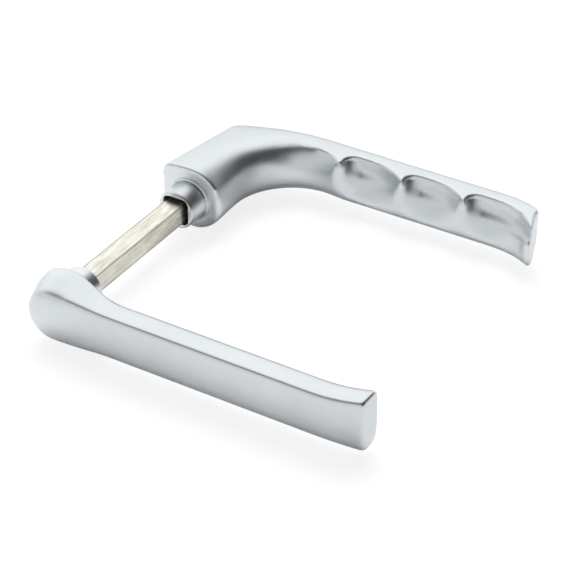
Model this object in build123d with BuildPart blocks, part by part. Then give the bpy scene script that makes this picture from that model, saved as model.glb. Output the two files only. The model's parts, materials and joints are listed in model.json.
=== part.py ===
from build123d import *
import os

# Door handle set: two cast levers on one square spindle.
# Frame in mm: X runs along the levers, Y along the spindle from the outside lever to the inside lever,
# Z is up. The origin is on the spindle axis, midway between the two spigot ends.

# Door and spindle
spigot_gap = 60.0  # clear length of spindle between the two spigot ends
spindle_side = 8.0  # square across flats
spindle_chamfer = 0.8  # at both ends
spindle_depth_out = 20.0  # spindle seated in the outside lever, from its spigot end
spindle_depth_in = 36.0  # spindle reaching into the inside lever, from its spigot end

# Spigots, the turned necks that run in the door's bushes
spigot_radius = 8.0
spigot_length = 10.0
spigot_chamfer = 0.6
root = 1.0  # a spigot or ring starts this deep in its lever
ring_radius = 9.2  # low ring at the root of the inside spigot
ring_height = 0.7

# Both levers
lever_reach = 131.0  # spindle axis to the end of a lever
grip_height = 20.0  # top strip to underside
crease_radius = 1.3  # edge between the top strip and the outer face
side_crown = 0.6  # how far the sides swell from flat
top_crown = 0.3  # how far the top strip swells from flat
flare_length = 20.0  # the tips lean towards the door over this length
end_bevel = 0.9  # edge of the end faces

# Outside lever
hub_radius = 14.0  # round foot on the door
hub_edge = 0.4  # edge of the foot
hub_shift = 1.3  # the hub's round nose lies this far towards the grip
nose_radius = 10.3  # crease round the nose of the hub
nose_crown = 1.2  # swell of the hub's front
outside_projection = 15.1  # door face to the outer face
outside_gap = 3.6  # door face to the back of the grip
outside_blend = 26.0  # length over which the hub flows into the grip
outside_top_radius = 2.0  # back edge of the top strip
outside_under_radius = 4.1  # rounded underside
outside_flare = 2.6  # how far the tip leans
outside_swell = 1.3  # how much the tip grows upwards and downwards
foot_depth = 7.0  # depth of the round foot behind the grip
foot_taper = 9.0  # its draft in degrees
foot_inset = 0.05  # its radius inside the nose's
outside_steps = 20  # sections along the lever

# Inside lever
neck_radius = 13.8  # round neck at the door
neck_corner = 2.0  # crease of the neck
neck_round = 11.0  # other corners of the neck
neck_side_crown = 2.0
neck_top_crown = 1.0
neck_waist = 2.4  # the neck's inner side draws in by this much up to the bend
neck_lean = 6.0  # the neck's outer side leans in by this much up to the elbow
inside_projection = 55.4  # door face to the outer face
inside_gap = 40.0  # door face to the grip, room for the fingers
bend_radius = 23.5  # inner side of the bend
bend_over = 5.5  # the bend swings this far past the grip's inner side and comes back at the first ridge
bend_ease = 20.0  # radius of that ridge
elbow_radius = 5.0  # outer corner of the bend
elbow_drop = 12.0  # the elbow lies this much nearer the door than the outer face
back_start = 15.0  # the outer face is straight from here on
back_radius = 70.0
ridge_radius = 1.2  # upper inner edge of the grip, between the scoops
inside_under_radius = 6.2  # rounded underside
inside_flare = 4.6  # how far the inner side of the tip leans
inside_tip_back = 3.2  # how far the outer side of the tip leans
tip_slant = 4.5  # the outer side of the tip ends this much short
elbow_share = 0.38  # part of the bend that lies before the elbow
inside_steps = (6, 5, 11, 3)  # sections up to the elbow, the end of the bend, the flare and the tip

# Finger scoops in the upper inner edge of the inside grip
scoop_count = 4
scoop_over = 0.2  # the cuts start this far above the top strip
scoop_pitch = 27.3
scoop_first = 17.2  # start of the first scoop, from the spindle axis
scoop_depth = 8.0  # across the top strip
scoop_drop = 6.5  # floor below the top strip
scoop_draft = 10.0  # lean of the wall in degrees
scoop_cove = 1.5  # radius between wall and floor
scoop_heel = 4.5  # radius of the steep end on the neck's side
scoop_flat = 5.0  # straight run of the back wall after the heel
scoop_overlap = 2.0  # each scoop runs this far past the start of the next
scoop_runout = 12.0  # straight end of the run-out, past the inner side
flute_depth = 5.4  # hollow for each finger in the inner side, below the scoop
flute_waist = 0.5  # part of that depth that is left half-way down
flute_fade = 0.08  # part of it that is left at the underside
flute_rise = (0.06, 1.2)  # pull of its steep side, in pitches along and depths across
flute_fall = (0.55, 1.35)  # pull of its long side
flute_offset = 0.8  # the ridges between the hollows, from the start of the scoop
index_radius = 18.0  # the first finger's hollow, an arc that runs out of the bend
index_foot = 13.0  # its radius at its foot
index_depth = 5.7  # across the top strip
index_drop = 9.0  # its foot below the top strip
index_setback = 15.0  # its middle from the start of the scoop

# Fixings
fit_clearance = 0.1  # each side of the spindle in the inside lever's socket
seat_clearance = 0.05  # each side of the spindle in the outside lever
screw_clearance = 0.05  # round the set screw, and between its point and the spindle
pin_clearance = 0.02  # round the cross pin
mouth_side = 11.6  # wide square mouth in the inside spigot
mouth_corner = 2.6
mouth_depth = 14.0
slide_room = 9.0  # room behind the spindle so that the lever can be set closer
screw_radius = 3.0
screw_length = 8.0
screw_setback = 14.0  # set screw from the inside door face
screw_point = 0.8  # chamfer at the screw's point
key_across = 3.0  # hexagon socket
key_depth = 3.2
pin_radius = 1.5
pin_setback = 4.0  # cross pin from the spindle's end
pin_recess = 1.6  # lower end of the pin inside the foot's outline
pin_over = 3.0  # pin above the spindle
pin_chamfer = 0.3

# Derived places
quarter_pull = 0.5523  # handle of a curve that stands for a quarter circle of radius 1
out_end = -spigot_gap / 2
in_end = spigot_gap / 2
out_face = out_end - spigot_length
in_face = in_end + spigot_length
grip_half = grip_height / 2
grip_inner = in_face + inside_gap
grip_outer = in_face + inside_projection
flare_start = lever_reach - flare_length
body_reach = lever_reach - end_bevel
spindle_half = spindle_side / 2
spindle_start = out_end - spindle_depth_out
spindle_stop = in_end + spindle_depth_in
screw_y = in_face + screw_setback
pin_y = spindle_start + pin_setback
pin_bottom = pin_recess - hub_radius
pin_top = spindle_half + pin_over
screw_top = -spindle_half - screw_clearance
scoop_top = grip_half + scoop_over
scoop_floor = grip_half - scoop_drop
first_ridge = scoop_first + scoop_pitch + flute_offset


def ease(t):
    t = min(max(t, 0.0), 1.0)
    return t * t * (3 - 2 * t)


def blend(start, stop, t):
    return start + (stop - start) * ease(t)


def across(y):
    # Plane square to the spindle, seen from the outside lever
    return Plane((0, y, 0), x_dir=(-1, 0, 0), z_dir=(0, 1, 0))


def lever_section(plane, depth, heights, radii, crowns, inset=0.0, upper_half=False):
    # Section of a lever. Its plane has its origin on the door side, x outwards and y up.
    # heights: half heights at the door side and at the outer side; radii: inner top, outer top,
    # outer bottom and inner bottom corner; crowns: swell of the inner side, of the outer side, and of
    # the top and the underside; inset draws the whole outline in.
    inner_crown, outer_crown, lid_crown = crowns
    inner_height = heights[0] - lid_crown - inset
    outer_height = heights[1] - lid_crown - inset
    inner = inner_crown + inset
    outer = depth - outer_crown - inset
    corners = [
        Vector(inner, inner_height),
        Vector(outer, outer_height),
        Vector(outer, -outer_height),
        Vector(inner, -inner_height),
    ]
    radii = [radius - inset for radius in radii]
    swells = [Vector(0, lid_crown), Vector(outer_crown, 0), Vector(0, -lid_crown), Vector(-inner_crown, 0)]
    sides = []
    for i, swell in enumerate(swells):
        first = corners[i]
        last = corners[(i + 1) % len(corners)]
        if swell.length > 0:
            sides.append(ThreePointArc(first, (first + last) / 2 + swell, last))
        else:
            sides.append(Line(first, last))
    with BuildSketch(plane) as section:
        with BuildLine():
            for i, side in enumerate(sides):
                turn = (i + 1) % len(sides)
                following = sides[turn]
                stop = 1 - radii[turn] / side.length
                restart = radii[turn] / following.length
                pull = radii[turn] * quarter_pull
                add(side.trim(radii[i] / side.length, stop))
                Bezier(
                    side @ stop,
                    side @ stop + side % stop * pull,
                    following @ restart - following % restart * pull,
                    following @ restart,
                )
        make_face()
        if upper_half:
            Rectangle(depth, 2 * heights[0], align=(Align.MIN, Align.MIN), mode=Mode.INTERSECT)
    return section.sketch


def outside_section(x, inset=0.0, upper_half=False):
    # Outside lever, square to X, from the hub to the tip
    t = (x - hub_shift) / outside_blend
    tip = max(0.0, (x - flare_start) / flare_length) ** 2
    lean = outside_flare * tip
    half = grip_half + outside_swell * tip
    back = blend(0, outside_gap, t) - lean
    plane = Plane((x, out_face - back, 0), x_dir=(0, -1, 0), z_dir=(-1, 0, 0))
    heights = (blend(hub_radius, half, t), blend(nose_radius, half, t))
    radii = (
        blend(hub_edge, outside_top_radius, t),
        crease_radius,
        blend(crease_radius, outside_under_radius, t),
        blend(hub_edge, outside_under_radius, t),
    )
    crowns = (blend(0, side_crown, t), blend(nose_crown, side_crown, t), top_crown)
    depth = outside_projection - lean - back
    return lever_section(plane, depth, heights, radii, crowns, inset, upper_half)


with BuildPart() as outside_lever:
    # Spigot
    with BuildSketch(across(out_face - root)):
        Circle(spigot_radius)
    extrude(amount=spigot_length + root)
    chamfer(outside_lever.faces().sort_by(Axis.Y)[-1].edges(), spigot_chamfer)
    # Round foot on the door and the nose of the hub
    with BuildSketch(across(out_face)):
        with Locations((-hub_shift, 0)):
            Circle(hub_radius - top_crown - foot_inset)
    extrude(amount=-foot_depth, taper=foot_taper)
    nose_axis = Axis((hub_shift, 0, 0), (0, -1, 0))
    revolve(profiles=outside_section(hub_shift, upper_half=True), axis=nose_axis, revolution_arc=180)
    # Hub and grip along X, with a bevelled end
    step = (body_reach - hub_shift) / outside_steps
    loft(sections=[outside_section(hub_shift + step * i) for i in range(outside_steps + 1)])
    loft(sections=[outside_section(body_reach), outside_section(lever_reach, end_bevel)], ruled=True)
    # Square seat for the spindle
    with BuildSketch(across(spindle_start)):
        Rectangle(spindle_side + 2 * seat_clearance, spindle_side + 2 * seat_clearance)
    extrude(amount=spindle_depth_out, mode=Mode.SUBTRACT)
    # Cross hole for the pin, from below
    with Locations((0, pin_y, pin_top)):
        Cylinder(
            pin_radius + pin_clearance,
            pin_top + hub_radius,
            align=(Align.CENTER, Align.CENTER, Align.MAX),
            mode=Mode.SUBTRACT,
        )
outside_lever.part.label = "outside_lever"

# Inside lever set out in plan at mid-height: its door side and its outer side
with BuildLine() as door_rail:
    door_run = FilletPolyline(
        (neck_radius, in_face),
        (neck_radius - neck_waist, grip_inner + bend_over),
        (first_ridge, grip_inner),
        (flare_start, grip_inner),
        radius=(bend_radius, bend_ease),
    )
    TangentArc((flare_start, grip_inner), (body_reach, grip_inner - inside_flare), tangent=(1, 0))
with BuildLine() as outer_rail:
    outer_run = FilletPolyline(
        (-neck_radius, in_face),
        (neck_lean - neck_radius, grip_outer - elbow_drop),
        (back_start, grip_outer),
        (flare_start, grip_outer),
        radius=(elbow_radius, back_radius),
    )
    TangentArc(
        (flare_start, grip_outer),
        (body_reach - tip_slant, grip_outer - inside_tip_back),
        tangent=(1, 0),
    )
neck_in, bend_in, *_ = [edge.length for edge in door_run.edges()]
neck_out, elbow_out, *_, grip_out = [edge.length for edge in outer_run.edges()]
bend_end = neck_in + bend_in


def spaced(marks, steps):
    # Distances along a rail: each span between two marks in even steps
    places = [0.0]
    for start, stop, count in zip(marks, marks[1:], steps):
        places += [start + (stop - start) * (i + 1) / count for i in range(count)]
    return places


door_length = door_rail.wire().length
outer_length = outer_rail.wire().length
door_marks = (0, neck_in + bend_in * elbow_share, bend_end, door_run.length, door_length)
outer_marks = (0, neck_out + elbow_out / 2, outer_run.length - grip_out, outer_run.length, outer_length)
inside_places = list(zip(spaced(door_marks, inside_steps), spaced(outer_marks, inside_steps)))


def inside_section(door_place, outer_place, bevel=0.0):
    # Inside lever, upright across the two rails; bevel moves the section on and draws it in
    inner = door_rail.wire() @ (door_place / door_length)
    span = outer_rail.wire() @ (outer_place / outer_length) - inner
    plane = Plane(inner, x_dir=span, z_dir=span.cross(Vector(0, 0, 1))).offset(bevel)
    t = door_place / bend_end
    height = blend(neck_radius, grip_half, t)
    radii = (
        blend(neck_round, ridge_radius, t),
        blend(neck_corner, crease_radius, t),
        blend(neck_round, inside_under_radius, t),
        blend(neck_round, inside_under_radius, t),
    )
    crown = blend(neck_side_crown, side_crown, t)
    crowns = (crown, crown, blend(neck_top_crown, top_crown, t))
    return lever_section(plane, span.length, (height, height), radii, crowns, bevel)


def finger_scoop(start):
    # Cutter for one finger: steep heel on the neck's side, straight back wall, long run-out to the tip
    with BuildSketch(Plane.XY.offset(scoop_top)) as outline:
        with BuildLine():
            wall_end = Vector(start, grip_inner + scoop_depth - scoop_heel)
            heel = TangentArc(wall_end, wall_end + Vector(scoop_heel, scoop_heel), tangent=(0, 1))
            back = Line(heel @ 1, heel @ 1 + Vector(scoop_flat, 0))
            side_end = (start + scoop_pitch + scoop_overlap, grip_inner)
            side = TangentArc(back @ 1, side_end, tangent=(1, 0))
            runout = Line(side @ 1, side @ 1 + side % 1 * scoop_runout)
            Polyline(runout @ 1, (start, (runout @ 1).Y), wall_end)
        make_face()
    with BuildPart() as scoop:
        extrude(outline.sketch, amount=scoop_floor - scoop_top, taper=scoop_draft)
        fillet(scoop.edges().group_by(Axis.Z)[0].sort_by(Axis.Y)[1:], scoop_cove)
    return scoop.part


def ridge_point(x):
    # Point on the grip's inner side, which leans towards the door at the tip
    lean = inside_flare * max(0.0, (x - flare_start) / flare_length) ** 2
    return Vector(x, grip_inner - lean)


def finger_flute(start):
    # Cutter for the hollow below a scoop: steep on the neck's side, long on the other, flatter downwards
    depths = (flute_depth, flute_depth * flute_waist, flute_depth * flute_fade)
    near = ridge_point(start + flute_offset)
    far = ridge_point(start + flute_offset + scoop_pitch)
    clear = Vector(0, -scoop_runout)
    fall = grip_half + scoop_floor
    with BuildPart() as flute:
        for i, depth in enumerate(depths):
            rise = near + Vector(flute_rise[0] * scoop_pitch, flute_rise[1] * depth)
            slide = near + Vector(flute_fall[0] * scoop_pitch, flute_fall[1] * depth)
            with BuildSketch(Plane.XY.offset(scoop_floor - fall * i / (len(depths) - 1))):
                with BuildLine():
                    Bezier(near, rise, slide, far)
                    Polyline(far, far + clear, near + clear, near)
                make_face()
        loft()
    return flute.part


finger_starts = [scoop_first + i * scoop_pitch for i in range(1, scoop_count)]
finger_scoops = [finger_scoop(start) for start in finger_starts]
finger_flutes = [finger_flute(start) for start in finger_starts]

with BuildPart() as inside_lever:
    # Spigot and the low ring at its root
    with BuildSketch(across(in_end)):
        Circle(spigot_radius)
    extrude(amount=spigot_length + root)
    chamfer(inside_lever.faces().sort_by(Axis.Y)[0].edges(), spigot_chamfer)
    with BuildSketch(across(in_face - ring_height)):
        Circle(ring_radius)
    extrude(amount=ring_height + root)
    # Neck, bend and grip, with a bevelled end
    loft(sections=[inside_section(*places) for places in inside_places])
    tip = inside_places[-1]
    loft(sections=[inside_section(*tip), inside_section(*tip, end_bevel)], ruled=True)
    # Finger scoops, and the hollow below each of them that runs out on the inner side
    add(finger_scoops + finger_flutes, mode=Mode.SUBTRACT)
    # The first finger's hollow runs out of the bend
    with Locations((scoop_first + index_setback, grip_inner + index_depth - index_radius, scoop_top)):
        Cone(
            index_foot,
            index_radius,
            index_drop + scoop_over,
            align=(Align.CENTER, Align.CENTER, Align.MAX),
            mode=Mode.SUBTRACT,
        )
    # Wide square mouth, then the square socket in which the lever slides on the spindle
    with BuildSketch(across(in_end)):
        RectangleRounded(mouth_side, mouth_side, mouth_corner)
    extrude(amount=mouth_depth, mode=Mode.SUBTRACT)
    with BuildSketch(across(in_end)):
        Rectangle(spindle_side + 2 * fit_clearance, spindle_side + 2 * fit_clearance)
    extrude(amount=spindle_depth_in + slide_room, mode=Mode.SUBTRACT)
    # Hole for the set screw, from below
    with Locations((0, screw_y, 0)):
        Cylinder(
            screw_radius + screw_clearance,
            neck_radius,
            align=(Align.CENTER, Align.CENTER, Align.MAX),
            mode=Mode.SUBTRACT,
        )
inside_lever.part.label = "inside_lever"

with BuildPart() as spindle:
    with BuildSketch(across(spindle_start)):
        Rectangle(spindle_side, spindle_side)
    extrude(amount=spindle_stop - spindle_start)
    ends = spindle.faces().sort_by(Axis.Y)
    chamfer(ends[0].edges() + ends[-1].edges(), spindle_chamfer)
    # Cross hole for the pin
    with Locations((0, pin_y, 0)):
        Cylinder(pin_radius + pin_clearance, spindle_side, mode=Mode.SUBTRACT)
spindle.part.label = "spindle"

with BuildPart() as set_screw:
    with Locations((0, screw_y, screw_top)):
        Cylinder(screw_radius, screw_length, align=(Align.CENTER, Align.CENTER, Align.MAX))
    chamfer(set_screw.edges().group_by(Axis.Z)[-1], screw_point)
    # Hexagon socket in the lower end
    with BuildSketch(Plane((0, screw_y, screw_top - screw_length))):
        RegularPolygon(key_across / 2, side_count=6, major_radius=False)
    extrude(amount=key_depth, mode=Mode.SUBTRACT)
set_screw.part.label = "set_screw"

with BuildPart() as spindle_pin:
    with Locations((0, pin_y, pin_bottom)):
        Cylinder(pin_radius, pin_top - pin_bottom, align=(Align.CENTER, Align.CENTER, Align.MIN))
    chamfer(spindle_pin.edges().filter_by(GeomType.CIRCLE), pin_chamfer)
spindle_pin.part.label = "spindle_pin"

os.makedirs("parts", exist_ok=True)
for piece in (outside_lever, inside_lever, spindle, set_screw, spindle_pin):
    export_step(piece.part, f"parts/{piece.part.label}.step")
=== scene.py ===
import bpy, bmesh, json, math
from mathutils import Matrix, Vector


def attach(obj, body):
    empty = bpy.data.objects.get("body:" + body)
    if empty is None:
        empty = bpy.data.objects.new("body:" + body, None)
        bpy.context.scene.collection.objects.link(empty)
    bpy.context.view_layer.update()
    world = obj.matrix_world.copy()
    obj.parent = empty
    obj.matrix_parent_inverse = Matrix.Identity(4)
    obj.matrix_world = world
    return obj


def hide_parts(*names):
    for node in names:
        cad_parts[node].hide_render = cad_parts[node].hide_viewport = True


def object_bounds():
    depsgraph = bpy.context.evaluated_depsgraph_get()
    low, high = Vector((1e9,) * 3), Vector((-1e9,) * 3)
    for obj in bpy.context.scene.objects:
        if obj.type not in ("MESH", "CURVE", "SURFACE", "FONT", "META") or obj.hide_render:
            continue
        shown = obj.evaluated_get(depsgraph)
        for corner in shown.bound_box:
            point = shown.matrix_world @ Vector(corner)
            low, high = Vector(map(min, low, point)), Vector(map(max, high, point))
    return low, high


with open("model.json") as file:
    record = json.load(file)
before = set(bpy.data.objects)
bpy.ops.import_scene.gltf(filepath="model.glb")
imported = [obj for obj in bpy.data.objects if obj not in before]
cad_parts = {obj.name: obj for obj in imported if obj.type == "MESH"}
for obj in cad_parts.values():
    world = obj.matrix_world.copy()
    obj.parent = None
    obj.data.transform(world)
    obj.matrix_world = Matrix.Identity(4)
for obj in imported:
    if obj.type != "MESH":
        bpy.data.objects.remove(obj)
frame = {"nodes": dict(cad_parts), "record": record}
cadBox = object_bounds()
scene = bpy.context.scene
nodes = frame["nodes"]
print("frame loaded:", ", ".join(sorted(nodes)))

# camera, set where the photograph was taken from; focal is the focal length over the picture's width
photoView = {"azimuth": 31.42, "elevation": 34.42, "distance": 0.7999, "toRight": 0.05855, "toTop": -0.01484,
             "focal": 2100 / 571, "sensor": 36, "clip": (0.01, 20)}

def makeCamera():
    a, e = math.radians(photoView["azimuth"]), math.radians(photoView["elevation"])
    back = Vector((math.sin(a) * math.cos(e), -math.cos(a) * math.cos(e), math.sin(e)))
    right = Vector((math.cos(a), math.sin(a), 0))
    up = back.cross(right)
    data = bpy.data.cameras.new("photoCamera")
    data.sensor_width = photoView["sensor"]
    data.sensor_fit = "HORIZONTAL"
    data.lens = photoView["focal"] * photoView["sensor"]
    data.clip_start, data.clip_end = photoView["clip"]
    cam = bpy.data.objects.new("photoCamera", data)
    cam.location = back * photoView["distance"] + right * photoView["toRight"] + up * photoView["toTop"]
    cam.rotation_mode = "QUATERNION"
    cam.rotation_quaternion = (-back).to_track_quat("-Z", "Y")
    scene.collection.objects.link(cam)
    scene.camera = cam

makeCamera()
print("camera set")

# node helpers
def addNode(tree, kind, inputs=None, **settings):
    node = tree.nodes.new(kind)
    for key, value in settings.items():
        setattr(node, key, value)
    for name, value in (inputs or {}).items():
        if isinstance(value, bpy.types.NodeSocket):
            tree.links.new(value, node.inputs[name])
        else:
            node.inputs[name].default_value = value
    return node

def spread(tree, value, low, high, fromLow=0.0, fromHigh=1.0, blend="LINEAR"):
    span = {"Value": value, "From Min": fromLow, "From Max": fromHigh, "To Min": low, "To Max": high}
    return addNode(tree, "ShaderNodeMapRange", span, interpolation_type=blend).outputs["Result"]

def maths(tree, operation, a, b=0.0):
    return addNode(tree, "ShaderNodeMath", {0: a, 1: b}, operation=operation).outputs[0]

def tint(tree, factor, a, b):
    mix = addNode(tree, "ShaderNodeMix", {"Factor": factor}, data_type="RGBA")
    for name, colour in (("A", a), ("B", b)):
        socket = next(s for s in mix.inputs if s.name == name and s.type == "RGBA")
        if isinstance(colour, bpy.types.NodeSocket):
            tree.links.new(colour, socket)
        else:
            socket.default_value = colour
    return next(s for s in mix.outputs if s.type == "RGBA")

def newMaterial(name, constants):
    mat = bpy.data.materials.new(name)
    mat.use_nodes = True
    tree = mat.node_tree
    tree.nodes.clear()
    bsdf = addNode(tree, "ShaderNodeBsdfPrincipled", constants)
    addNode(tree, "ShaderNodeOutputMaterial", {"Surface": bsdf.outputs["BSDF"]})
    return mat, tree, bsdf

# metal grain, used by all three metals: soft clouds, fine grain and their height for the bump
noise = {"cloudDetail": 4.0, "cloudRoughness": 0.55, "cloudHeight": 0.3, "grainDetail": 3.0,
         "low": 0.3, "high": 0.7}

def metalGrainGroup():
    group = bpy.data.node_groups.new("metalGrain", "ShaderNodeTree")
    face = group.interface
    for name, kind in (("Vector", "NodeSocketVector"), ("Cloud Scale", "NodeSocketFloat"),
                       ("Grain Scale", "NodeSocketFloat"), ("Stretch", "NodeSocketFloat")):
        face.new_socket(name, in_out="INPUT", socket_type=kind)
    for name in ("Cloud", "Grain", "Height"):
        face.new_socket(name, in_out="OUTPUT", socket_type="NodeSocketFloat")
    given = addNode(group, "NodeGroupInput").outputs
    along = addNode(group, "ShaderNodeCombineXYZ", {"X": 1.0, "Y": given["Stretch"], "Z": 1.0})
    drawn = addNode(group, "ShaderNodeVectorMath", {0: given["Vector"], 1: along.outputs["Vector"]},
                    operation="MULTIPLY")
    cloud = addNode(group, "ShaderNodeTexNoise",
                    {"Vector": given["Vector"], "Scale": given["Cloud Scale"],
                     "Detail": noise["cloudDetail"], "Roughness": noise["cloudRoughness"]}).outputs["Fac"]
    grain = addNode(group, "ShaderNodeTexNoise",
                    {"Vector": drawn.outputs["Vector"], "Scale": given["Grain Scale"],
                     "Detail": noise["grainDetail"]}).outputs["Fac"]
    height = maths(group, "ADD", grain, maths(group, "MULTIPLY", cloud, noise["cloudHeight"]))
    addNode(group, "NodeGroupOutput", {"Cloud": spread(group, cloud, 0, 1, noise["low"], noise["high"]),
                                       "Grain": spread(group, grain, 0, 1, noise["low"], noise["high"]),
                                       "Height": height})
    return group

metalGrain = metalGrainGroup()

# a metal with its grain and bump; its colour and roughness are linked by the functions below
def newMetal(name, values):
    mat, tree, bsdf = newMaterial(name, {"Metallic": 1.0})
    coords = addNode(tree, "ShaderNodeTexCoord").outputs["Object"]
    grain = addNode(tree, "ShaderNodeGroup",
                    {"Vector": coords, "Cloud Scale": values["cloud"], "Grain Scale": values["grain"],
                     "Stretch": values["stretch"]}, node_tree=metalGrain).outputs
    bump = addNode(tree, "ShaderNodeBump", {"Strength": values["bump"], "Distance": values["bumpDepth"],
                                            "Height": grain["Height"]})
    tree.links.new(bump.outputs["Normal"], bsdf.inputs["Normal"])
    rough = spread(tree, grain["Grain"], values["roughLow"], values["roughHigh"])
    return mat, tree, bsdf, grain, rough

# satin aluminium: blasted and anodised, a little smoother and paler where hands rub the edges
satin = {"light": (0.775, 0.81, 0.835, 1), "shade": (0.73, 0.765, 0.79, 1), "rubbed": (0.83, 0.86, 0.88, 1),
         "roughLow": 0.33, "roughHigh": 0.40, "rubbedRough": 0.30, "edgeLow": 0.53, "edgeHigh": 0.62,
         "wear": 0.7, "wearLeast": 0.4, "cloud": 45, "grain": 4200, "stretch": 1.0,
         "bump": 0.06, "bumpDepth": 0.00005}

def satinAluminium():
    mat, tree, bsdf, grain, rough = newMetal("satinAluminium", satin)
    pointed = addNode(tree, "ShaderNodeNewGeometry").outputs["Pointiness"]
    edge = spread(tree, pointed, 0, satin["wear"], satin["edgeLow"], satin["edgeHigh"], "SMOOTHSTEP")
    worn = maths(tree, "MULTIPLY", edge, spread(tree, grain["Cloud"], satin["wearLeast"], 1))
    fresh = tint(tree, grain["Cloud"], satin["light"], satin["shade"])
    tree.links.new(tint(tree, worn, fresh, satin["rubbed"]), bsdf.inputs["Base Color"])
    fall = maths(tree, "MULTIPLY", worn, satin["roughHigh"] - satin["rubbedRough"])
    tree.links.new(maths(tree, "SUBTRACT", rough, fall), bsdf.inputs["Roughness"])
    return mat

# yellow zinc on the drawn bar: streaks along the bar, duller patches, darker along its four edges
zinc = {"pale": (0.99, 0.975, 0.91, 1), "deep": (0.60, 0.575, 0.47, 1), "edge": (0.34, 0.31, 0.24, 1),
        "roughLow": 0.26, "roughHigh": 0.42, "edgeFrom": 0.0033, "edgeTo": 0.0037, "edgeShare": 0.8,
        "streaks": 0.6, "patches": 0.4, "cloud": 170, "grain": 1100, "stretch": 0.10,
        "bump": 0.2, "bumpDepth": 0.00005}

def yellowZinc():
    mat, tree, bsdf, grain, rough = newMetal("yellowZinc", zinc)
    coords = addNode(tree, "ShaderNodeTexCoord").outputs["Object"]
    place = addNode(tree, "ShaderNodeSeparateXYZ", {"Vector": coords}).outputs
    across = maths(tree, "MINIMUM", maths(tree, "ABSOLUTE", place["X"]), maths(tree, "ABSOLUTE", place["Z"]))
    edge = spread(tree, across, 0, zinc["edgeShare"], zinc["edgeFrom"], zinc["edgeTo"], "SMOOTHSTEP")
    dull = maths(tree, "ADD", maths(tree, "MULTIPLY", grain["Grain"], zinc["streaks"]),
                 maths(tree, "MULTIPLY", grain["Cloud"], zinc["patches"]))
    bar = tint(tree, dull, zinc["pale"], zinc["deep"])
    tree.links.new(tint(tree, edge, bar, zinc["edge"]), bsdf.inputs["Base Color"])
    tree.links.new(rough, bsdf.inputs["Roughness"])
    return mat

# plain steel of the screw and the pin
steel = {"light": (0.46, 0.46, 0.47, 1), "dark": (0.30, 0.30, 0.31, 1), "roughLow": 0.28, "roughHigh": 0.42,
         "cloud": 500, "grain": 2600, "stretch": 1.0, "bump": 0.1, "bumpDepth": 0.00004}

def plainSteel():
    mat, tree, bsdf, grain, rough = newMetal("plainSteel", steel)
    tree.links.new(tint(tree, grain["Cloud"], steel["light"], steel["dark"]), bsdf.inputs["Base Color"])
    tree.links.new(rough, bsdf.inputs["Roughness"])
    return mat

finishes = {"satin_aluminium": satinAluminium(), "yellow_zinc": yellowZinc(), "steel": plainSteel()}

def paint(obj, mat):
    obj.data.materials.clear()
    obj.data.materials.append(mat)

for entry in frame["record"]["subparts"]:
    paint(nodes[entry["node"]], finishes[entry["material_slot"]])
print("finishes made")

# what the softening tree takes in: rounds of blur for each stage, then where the stage works
soften = {"lightRounds": 12, "deepRounds": 62, "heelRounds": 150, "hollowRounds": 140, "bendRounds": 260,
          "noseRounds": 36, "cornerRounds": 24,
          "seamFrom": 0.0408, "seamTo": 0.0450, "seamLeast": 0.5,
          "tipFrom": 0.122, "tipTo": 0.129, "tipLeast": 0.35, "insideShare": 0.4,
          "deepHeight": 0.0046, "crispHeight": 0.0076,
          "firstHeel": 0.0415, "lastHeel": 0.114, "heelPitch": 0.0273, "heelWidth": 0.0100,
          "heelRise": 0.2, "heelFall": 0.6, "heelBackFrom": 0.086, "heelBackTo": 0.090,
          "heelFoot": -0.003, "heelTop": 0.0082, "heelBlend": 0.003,
          "hollowPlace": (0.0225, 0.079, 0.005), "hollowReach": 0.013,
          "bendPlace": (0.016, 0.064, 0.006), "bendReach": 0.023, "bendFoot": -0.006, "bendTop": 0.0,
          "nosePlace": (-0.002, -0.0505, 0.0095), "noseReach": 0.011,
          "cornerPlace": (0.1275, 0.082, 0.006), "cornerReach": 0.008,
          "coreShare": 0.5}

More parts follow.
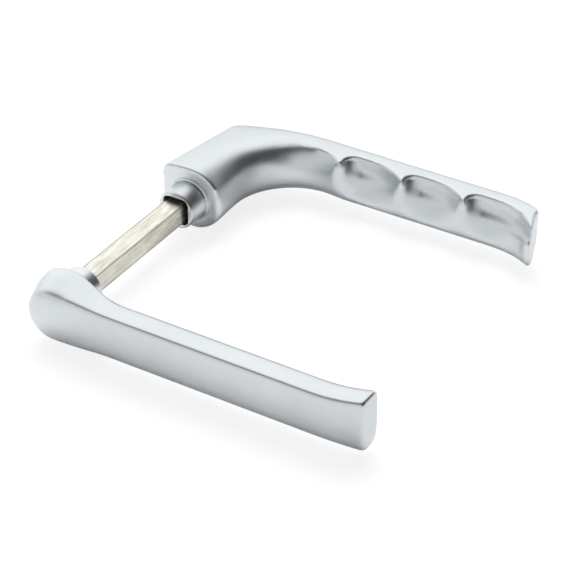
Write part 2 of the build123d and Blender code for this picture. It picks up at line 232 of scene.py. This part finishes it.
# softens a casting by blurring where its points lie, in stages that each have their own place and strength
def softenGroup():
    group = bpy.data.node_groups.new("softenCast", "GeometryNodeTree")
    face = group.interface
    face.new_socket("Geometry", in_out="INPUT", socket_type="NodeSocketGeometry")
    kinds = {int: "NodeSocketInt", float: "NodeSocketFloat", tuple: "NodeSocketVector"}
    for name, value in soften.items():
        face.new_socket(name, in_out="INPUT", socket_type=kinds[type(value)])
    face.new_socket("Geometry", in_out="OUTPUT", socket_type="NodeSocketGeometry")
    given = addNode(group, "NodeGroupInput").outputs
    place = addNode(group, "GeometryNodeInputPosition").outputs["Position"]
    axes = addNode(group, "ShaderNodeSeparateXYZ", {"Vector": place}).outputs

    def rise(value, start, stop, least=0.0):
        return spread(group, value, least, 1, start, stop, "SMOOTHSTEP")

    def fall(value, start, stop):
        return spread(group, value, 1, 0, start, stop, "SMOOTHSTEP")

    def both(a, b):
        return maths(group, "MULTIPLY", a, b)

    def nearTo(part):
        reach = given[part + "Reach"]
        away = addNode(group, "ShaderNodeVectorMath", {0: place, 1: given[part + "Place"]},
                       operation="DISTANCE")
        return fall(away.outputs["Value"], both(reach, given["coreShare"]), reach)

    seam = rise(maths(group, "ABSOLUTE", axes["Y"]), given["seamFrom"], given["seamTo"], given["seamLeast"])
    tip = fall(axes["X"], given["tipFrom"], given["tipTo"])
    inside = maths(group, "GREATER_THAN", axes["Y"], 0.0)
    low = both(fall(axes["Z"], given["deepHeight"], given["crispHeight"]), inside)
    fine = spread(group, inside, 1, given["insideShare"])    # the scoops keep their upper edges
    light = both(both(seam, fine), maths(group, "MAXIMUM", tip, given["tipLeast"]))
    # one window at the foot of each ridge between the scoops
    width = given["heelWidth"]
    step = maths(group, "FLOORED_MODULO", maths(group, "SUBTRACT", axes["X"], given["firstHeel"]),
                 given["heelPitch"])
    heel = both(rise(step, 0.0, both(width, given["heelRise"])),
                fall(step, both(width, given["heelFall"]), width))
    heel = both(heel, maths(group, "GREATER_THAN", axes["X"], given["firstHeel"]))
    heel = both(heel, maths(group, "LESS_THAN", axes["X"], given["lastHeel"]))
    heel = both(both(heel, inside), fall(axes["Y"], given["heelBackFrom"], given["heelBackTo"]))
    heel = both(heel, fall(axes["Z"], maths(group, "SUBTRACT", given["heelTop"], given["heelBlend"]),
                           given["heelTop"]))
    heel = both(heel, rise(axes["Z"], given["heelFoot"],
                           maths(group, "ADD", given["heelFoot"], given["heelBlend"])))
    bend = both(nearTo("bend"), rise(axes["Z"], given["bendFoot"], given["bendTop"]))
    stages = (("lightRounds", light), ("deepRounds", both(both(low, tip), seam)), ("heelRounds", heel),
              ("hollowRounds", nearTo("hollow")), ("bendRounds", bend), ("noseRounds", nearTo("nose")),
              ("cornerRounds", nearTo("corner")))
    shape = given["Geometry"]
    for rounds, weight in stages:
        blurred = addNode(group, "GeometryNodeBlurAttribute", data_type="FLOAT_VECTOR")
        for name, value in (("Value", place), ("Iterations", given[rounds]), ("Weight", weight)):
            socket = next(s for s in blurred.inputs if s.name == name and s.enabled)
            group.links.new(value, socket)
        result = next(s for s in blurred.outputs if s.enabled)
        shape = addNode(group, "GeometryNodeSetPosition",
                        {"Geometry": shape, "Position": result}).outputs["Geometry"]
    smooth = addNode(group, "GeometryNodeSetShadeSmooth", {"Geometry": shape}).outputs["Geometry"]
    skin = addNode(group, "GeometryNodeSetMaterial",
                   {"Geometry": smooth, "Material": finishes["satin_aluminium"]})
    addNode(group, "NodeGroupOutput", {"Geometry": skin.outputs["Geometry"]})
    return group

softenCast = softenGroup()

# levers: each is a cast body with blended forms and a turned spigot with crisp edges, cut from the same solid
cast = {"voxel": 0.00042, "cutAt": 0.03995, "plug": 0.0008, "sharpAngle": 24, "weld": 1e-6}

def cutSolid(node, side, keepBody):
    bm = bmesh.new()
    bm.from_mesh(nodes[node].data)
    bmesh.ops.remove_doubles(bm, verts=bm.verts, dist=cast["weld"])
    at = side * cast["cutAt"]
    cut = bmesh.ops.bisect_plane(bm, geom=bm.verts[:] + bm.edges[:] + bm.faces[:], plane_co=(0, at, 0),
                                 plane_no=(0, side, 0), clear_inner=keepBody, clear_outer=not keepBody)
    rim = [e for e in cut["geom_cut"] if isinstance(e, bmesh.types.BMEdge)]
    bmesh.ops.triangle_fill(bm, use_beauty=True, use_dissolve=False, edges=rim)
    bmesh.ops.recalc_face_normals(bm, faces=bm.faces)
    if not keepBody:    # the spigot's root reaches a little into the body
        for v in bm.verts:
            if abs(v.co.y - at) < cast["weld"]:
                v.co.y += side * cast["plug"]
    mesh = bpy.data.meshes.new(node)
    bm.to_mesh(mesh)
    bm.free()
    return mesh

def addPiece(name, mesh):
    obj = bpy.data.objects.new(name, mesh)
    scene.collection.objects.link(obj)
    return obj

# applies the modifiers and hands the piece over
def settle(obj, node, body):
    done = bpy.data.meshes.new_from_object(obj.evaluated_get(bpy.context.evaluated_depsgraph_get()))
    obj.modifiers.clear()
    obj.data = done
    paint(obj, finishes["satin_aluminium"])
    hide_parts(node)
    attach(obj, body)
    triangles = sum(len(p.vertices) - 2 for p in done.polygons)
    print(obj.name, "made:", triangles, "triangles")

def castBody(name, node, body, side):
    obj = addPiece(name, cutSolid(node, side, True))
    remesh = obj.modifiers.new("remesh", "REMESH")
    remesh.mode = "VOXEL"
    remesh.voxel_size = cast["voxel"]
    softener = obj.modifiers.new("soften", "NODES")
    softener.node_group = softenCast
    for item in softenCast.interface.items_tree:
        if item.name in soften:
            softener[item.identifier] = soften[item.name]
    settle(obj, node, body)

def turnedSpigot(name, node, body, side):
    obj = addPiece(name, cutSolid(node, side, False))
    obj.data.shade_smooth()
    obj.data.set_sharp_from_angle(angle=math.radians(cast["sharpAngle"]))
    # turned faces stay flat up to their rounded edges
    flat = obj.modifiers.new("flatFaces", "WEIGHTED_NORMAL")
    flat.keep_sharp = True
    settle(obj, node, body)

for body, node, side in (("inside", "inside_lever", 1), ("outside", "outside_lever", -1)):
    castBody(body + "LeverBody", node, body, side)
    turnedSpigot(body + "LeverSpigot", node, body, side)
print("levers cast")

# white paper floor; rays from the camera and from the metal see part of it as plain white
paper = {"colour": (0.92, 0.92, 0.92, 1), "rough": 0.95, "gloss": 0.1, "halfSize": 3.0,
         "cameraWhite": 0.72, "cameraGlow": 1.12, "metalWhite": 0.02, "metalGlow": 0.8}

def makeFloor(z):
    s = paper["halfSize"]
    mesh = bpy.data.meshes.new("floor")
    mesh.from_pydata([(-s, -s, z), (s, -s, z), (s, s, z), (-s, s, z)], [], [(0, 1, 2, 3)])
    obj = addPiece("floor", mesh)
    mat, tree, bsdf = newMaterial("paperWhite", {"Base Color": paper["colour"], "Roughness": paper["rough"],
                                                 "Specular IOR Level": paper["gloss"]})
    path = addNode(tree, "ShaderNodeLightPath").outputs
    last = bsdf.outputs["BSDF"]
    for ray, share, glow in (("Is Glossy Ray", paper["metalWhite"], paper["metalGlow"]),
                             ("Is Camera Ray", paper["cameraWhite"], paper["cameraGlow"])):
        light = addNode(tree, "ShaderNodeEmission", {"Strength": glow}).outputs["Emission"]
        last = addNode(tree, "ShaderNodeMixShader", {0: maths(tree, "MULTIPLY", path[ray], share),
                                                     1: last, 2: light}).outputs["Shader"]
    tree.links.new(last, tree.nodes["Material Output"].inputs["Surface"])
    paint(obj, mat)

makeFloor(cadBox[0].z)

# a large soft box above and behind lights the paper; the metal is lit by the paper and the room
softBox = {"place": (-0.25, 0.52, 1.02), "target": (0.05, 0.02, 0), "size": (0.9, 0.7), "power": 9.9}

def makeSoftBox():
    data = bpy.data.lights.new("softBox", "AREA")
    data.shape = "RECTANGLE"
    data.size, data.size_y = softBox["size"]
    data.energy = softBox["power"]
    obj = addPiece("softBox", data)
    obj.location = softBox["place"]
    obj.rotation_mode = "QUATERNION"
    obj.rotation_quaternion = (Vector(softBox["target"]) - Vector(softBox["place"])).to_track_quat("-Z", "Y")
    obj.visible_glossy = False

makeSoftBox()

# room: pale walls, dark overhead, a white screen behind on the left with a dark gap below it,
# and a dark side on the right
room = {"wall": 0.78, "ceiling": 0.08, "ceilingFrom": 0.50, "ceilingTo": 0.76,
        "screen": 1.16, "screenSide": (-0.34, 0.72, 0.58), "screenFrom": 0.45, "screenTo": 0.74,
        "gap": 0.10, "gapSide": (-0.43, 0.90, 0.0), "gapFrom": 0.95, "gapTo": 0.985,
        "dark": 0.05, "darkSide": (0.84, 0.20, 0.42), "darkFrom": 0.40, "darkTo": 0.82}

def makeRoom():
    world = bpy.data.worlds.new("room")
    scene.world = world
    world.use_nodes = True
    tree = world.node_tree
    tree.nodes.clear()
    look = addNode(tree, "ShaderNodeTexCoord").outputs["Generated"]
    height = addNode(tree, "ShaderNodeSeparateXYZ", {"Vector": look}).outputs["Z"]
    level = spread(tree, height, room["wall"], room["ceiling"], room["ceilingFrom"], room["ceilingTo"],
                   "SMOOTHSTEP")
    for part in ("screen", "gap", "dark"):
        side = Vector(room[part + "Side"]).normalized()
        facing = addNode(tree, "ShaderNodeVectorMath", {0: look, 1: side}, operation="DOT_PRODUCT")
        share = spread(tree, facing.outputs["Value"], 0, 1, room[part + "From"], room[part + "To"],
                       "SMOOTHSTEP")
        level = addNode(tree, "ShaderNodeMix", {0: share, 2: level, 3: room[part]}).outputs[0]
    plain = {"Color": (1, 1, 1, 1)}
    light = addNode(tree, "ShaderNodeBackground", {**plain, "Strength": level}).outputs["Background"]
    white = addNode(tree, "ShaderNodeBackground", plain).outputs["Background"]
    path = addNode(tree, "ShaderNodeLightPath").outputs
    seen = addNode(tree, "ShaderNodeMixShader", {0: path["Is Camera Ray"], 1: light, 2: white})
    addNode(tree, "ShaderNodeOutputWorld", {"Surface": seen.outputs["Shader"]})

makeRoom()
scene.view_settings.view_transform = "Standard"
print("studio lit")
